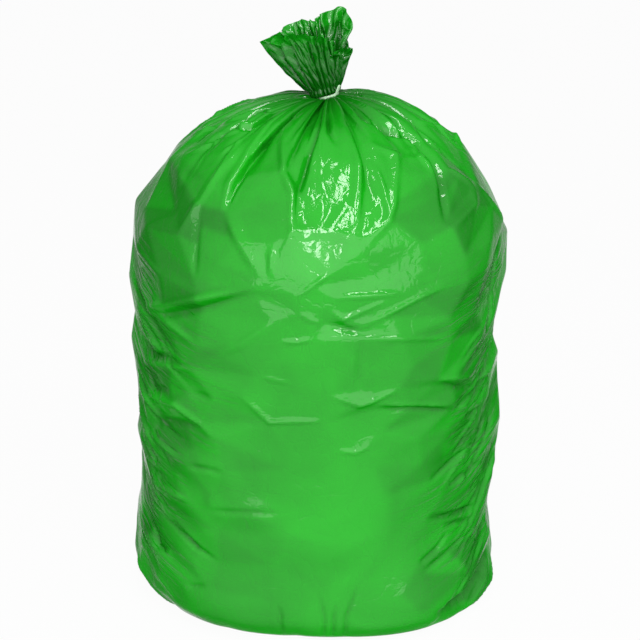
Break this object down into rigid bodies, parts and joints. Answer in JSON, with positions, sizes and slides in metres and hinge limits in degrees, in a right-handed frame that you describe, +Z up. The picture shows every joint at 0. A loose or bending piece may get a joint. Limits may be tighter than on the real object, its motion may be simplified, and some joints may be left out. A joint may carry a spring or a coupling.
{
  "type": "filled bin bag",
  "caption": "Upright filled bin bag of thin glossy film, gathered into a neck, closed with a wire tie, with a loose ruffled tail above it.",
  "frame": {"origin": "middle of the flat foot, on the floor that the bag stands on", "axes": "+Z up along the height, +X to the right as seen from the front, front towards -Y"},
  "size_m": [0.4519, 0.4275, 0.7237],
  "materials": {
    "film": "glossy thin film, finely crinkled, slightly translucent",
    "tie": "satin coated wire"
  },
  "bodies": {
    "root": {"bag": "film", "neck_tie": "tie"}
  },
  "joints": []
}
